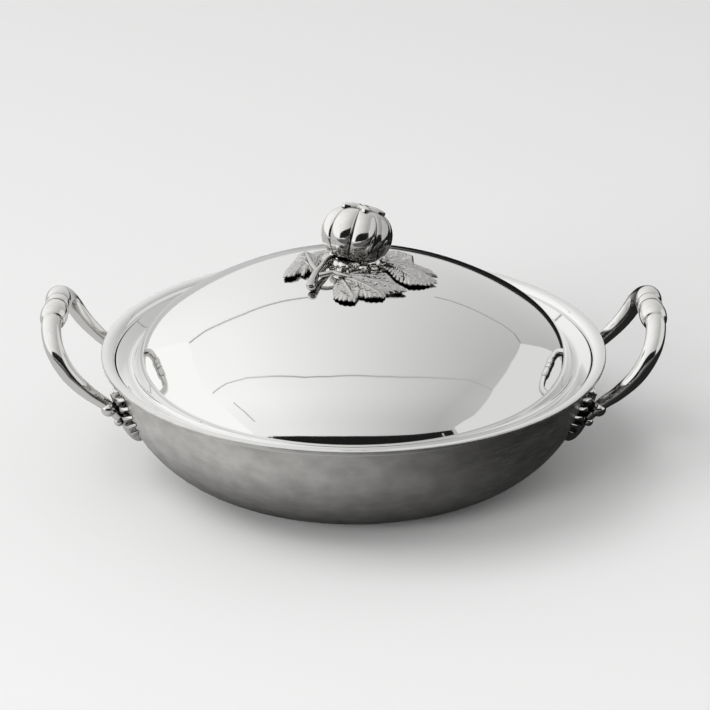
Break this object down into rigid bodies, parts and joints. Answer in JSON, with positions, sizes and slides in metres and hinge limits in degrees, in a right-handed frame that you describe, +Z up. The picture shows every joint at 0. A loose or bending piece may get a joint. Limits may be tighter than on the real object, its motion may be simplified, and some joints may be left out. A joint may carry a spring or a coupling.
{
  "type": "wok",
  "caption": "Wide round-bottomed steel wok with a domed lid, a pumpkin-and-leaves knob and cast loop handles riveted to the wall through leaf-shaped feet.",
  "frame": {"origin": "middle of the flat base, on the surface the wok stands on", "axes": "+X through the middles of both handles, +Z up along the axis of bowl and lid, +Y to the rear"},
  "size_m": [0.3948, 0.32, 0.1765],
  "materials": {
    "bowl_steel": "hand-finished satin outside, polished lip and inside",
    "lid_steel": "mirror polished",
    "handle_casting": "polished casting, dark in the recesses of the leaves",
    "knob_casting": "polished casting with hand-chased veins, dark in the recesses",
    "fastener_steel": "plain turned steel"
  },
  "bodies": {
    "pan": {"wok_bowl": "bowl_steel", "handle_right": "handle_casting", "handle_left": "handle_casting", "rivet_right_front_upper": "fastener_steel", "rivet_right_front_lower": "fastener_steel", "rivet_right_rear_upper": "fastener_steel", "rivet_right_rear_lower": "fastener_steel", "rivet_left_front_upper": "fastener_steel", "rivet_left_front_lower": "fastener_steel", "rivet_left_rear_upper": "fastener_steel", "rivet_left_rear_lower": "fastener_steel"},
    "lid": {"lid_shell": "lid_steel", "leaf_spray": "knob_casting", "pumpkin_knob": "knob_casting", "knob_washer": "fastener_steel", "knob_screw": "fastener_steel"}
  },
  "joints": [
    {"name": "lid_lift", "type": "slide", "parent": "pan", "child": "lid", "axis": [0, 0, 1], "range_m": [0, 0.2]}
  ]
}
